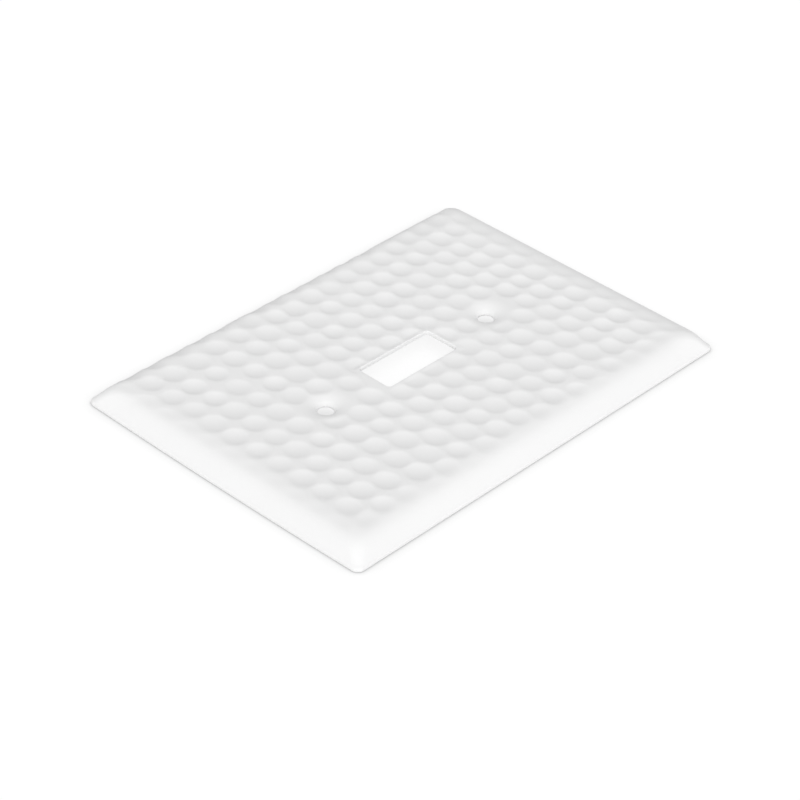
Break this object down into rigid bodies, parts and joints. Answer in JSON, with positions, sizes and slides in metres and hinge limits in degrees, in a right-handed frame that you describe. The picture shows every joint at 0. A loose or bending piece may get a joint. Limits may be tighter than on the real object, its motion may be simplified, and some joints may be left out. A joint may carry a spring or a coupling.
{
  "type": "toggle switch plate",
  "caption": "Hammered pressed-steel cover plate for a toggle light switch, painted satin white, with a rectangular toggle slot, countersunk screw holes and a flared, rolled rim.",
  "frame": {"origin": "centre of the rim plane, the plane of the wall that the plate covers", "axes": "+Z out of the face, +Y along the plate's length through both screw holes, +X across its width"},
  "size_m": [0.094, 0.136, 0.0055],
  "materials": {
    "white_finish": "satin white powder coat over hammered steel"
  },
  "bodies": {
    "root": {"switch_plate": "white_finish"}
  },
  "joints": []
}
